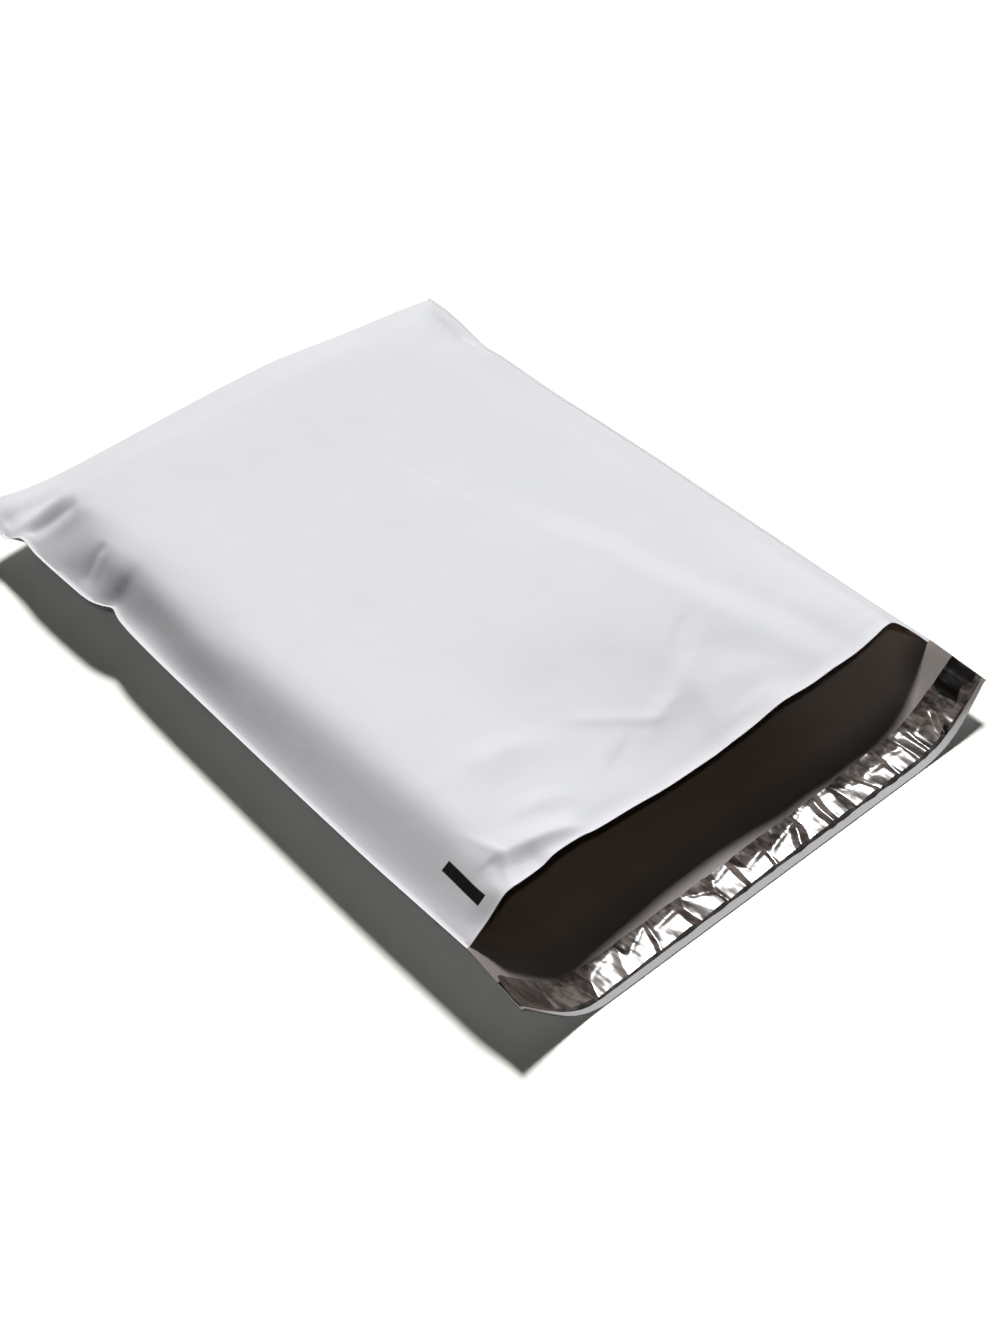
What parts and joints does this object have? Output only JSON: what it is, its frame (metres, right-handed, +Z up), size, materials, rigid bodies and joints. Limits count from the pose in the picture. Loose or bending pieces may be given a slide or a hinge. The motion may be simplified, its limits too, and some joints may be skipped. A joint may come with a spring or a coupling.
{
  "type": "poly mailer bag",
  "caption": "Plain white film mailing bag, puffed open and lying on its back, with a flap that carries a closing strip under a clear liner.",
  "frame": {"origin": "on the floor, under the middle of the bag's outline in plan", "axes": "+Y from the flap towards the closed end, +X from the left weld to the right one, +Z up"},
  "size_m": [0.2982, 0.4339, 0.0509],
  "materials": {
    "white_film": "satin white outside, dark grey inside",
    "adhesive": "tacky hot-melt band",
    "clear_liner": "glossy clear film"
  },
  "bodies": {
    "root": {"film_bag": "white_film", "adhesive_strip": "adhesive", "release_liner": "clear_liner"}
  },
  "joints": []
}
